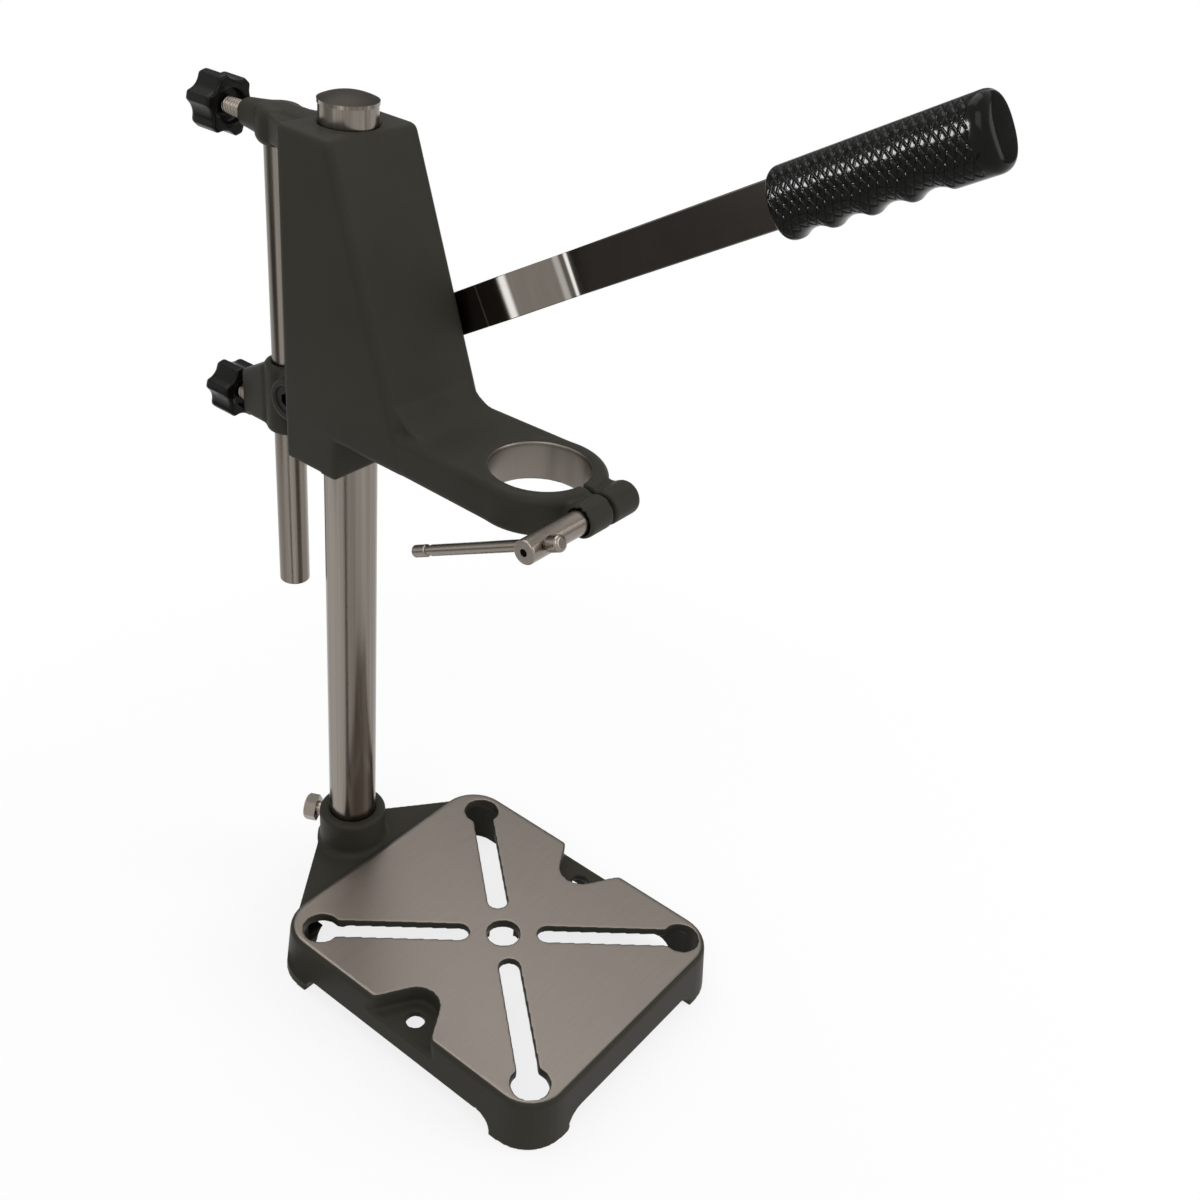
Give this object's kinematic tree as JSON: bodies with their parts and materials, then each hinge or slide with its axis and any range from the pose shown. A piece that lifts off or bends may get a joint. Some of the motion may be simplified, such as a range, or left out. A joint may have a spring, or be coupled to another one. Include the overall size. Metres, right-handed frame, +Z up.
{
  "type": "drill stand",
  "caption": "Bench drill stand: slotted cast table, round column, sprung sliding head with a split drill collar, guide rod and a gripped feed lever.",
  "frame": {"origin": "centre of the table's hole, on the table's machined face, under the drill axis", "axes": "+Z up along the drill axis, -Y to the front, away from the column, +X to the side that carries the feed lever"},
  "size_m": [0.157, 0.351, 0.4817],
  "materials": {
    "painted_casting": "semi-gloss charcoal enamel, table face and collar bore machined bare",
    "polished_steel": "drawn and polished",
    "zinc_steel": "bright zinc plate",
    "spring_steel": "bright wire",
    "black_oxide": "black oxide",
    "plated_bar": "satin nickel plate",
    "black_plastic": "moulded, half gloss",
    "black_rubber": "moulded, matt"
  },
  "bodies": {
    "base": {"base_casting": "painted_casting", "socket_bolt": "zinc_steel"},
    "column": {"column": "polished_steel", "column_cap": "polished_steel"},
    "bracket": {"feed_bracket": "painted_casting", "fulcrum_bolt": "black_oxide", "fulcrum_bush": "zinc_steel", "fulcrum_spacer": "zinc_steel", "fulcrum_washer": "zinc_steel", "fulcrum_nut": "zinc_steel", "spring_seat": "zinc_steel", "return_spring": "spring_steel"},
    "head": {"head_casting": "painted_casting", "drive_pin": "zinc_steel", "drive_washer": "zinc_steel", "stop_buffer": "black_rubber"},
    "rod": {"guide_rod": "polished_steel"},
    "upper_knob": {"upper_knob": "black_plastic", "upper_stud": "zinc_steel"},
    "lower_knob": {"lower_knob": "black_plastic", "lower_stud": "zinc_steel"},
    "lever": {"lever_bar": "plated_bar", "lever_grip": "black_rubber"},
    "clamp_screw": {"clamp_screw": "zinc_steel"},
    "tommy_bar": {"tommy_bar": "zinc_steel"}
  },
  "joints": [
    {"name": "column_swivel", "type": "hinge", "parent": "base", "child": "column", "pos_m": [0, 0.11275, 0], "axis": [0, 0, 1], "range_deg": [-70, 70]},
    {"name": "bracket_height", "type": "slide", "parent": "column", "child": "bracket", "axis": [0, 0, -1], "range_m": [0, 0.08]},
    {"name": "head_feed", "type": "slide", "parent": "bracket", "child": "head", "axis": [0, 0, -1], "range_m": [0, 0.06], "stiffness_N_per_m": 900, "springref_m": -0.07, "deforming": ["return_spring"]},
    {"name": "lever_swing", "type": "hinge", "parent": "bracket", "child": "lever", "pos_m": [0, 0.14, 0.26], "axis": [1, 0, 0], "range_deg": [0, 60]},
    {"name": "rod_set", "type": "slide", "parent": "head", "child": "rod", "axis": [0, 0, -1], "range_m": [0, 0.03]},
    {"name": "upper_knob_turn", "type": "hinge", "parent": "head", "child": "upper_knob", "pos_m": [0, 0.1755, 0.38], "axis": [0, 1, 0], "continuous": true},
    {"name": "lower_knob_turn", "type": "hinge", "parent": "bracket", "child": "lower_knob", "pos_m": [0, 0.1805, 0.24325], "axis": [0, 1, 0], "continuous": true},
    {"name": "clamp_screw_turn", "type": "hinge", "parent": "head", "child": "clamp_screw", "pos_m": [-0.0485, -0.033, 0.27], "axis": [1, 0, 0], "continuous": true},
    {"name": "tommy_slide", "type": "slide", "parent": "clamp_screw", "child": "tommy_bar", "axis": [0, -0.8949, 0.4462], "range_m": [0, 0.055]}
  ],
  "couplings": [
    {"joint": "lever_swing", "follows": "head_feed", "rad_per_m": 17.4}
  ]
}
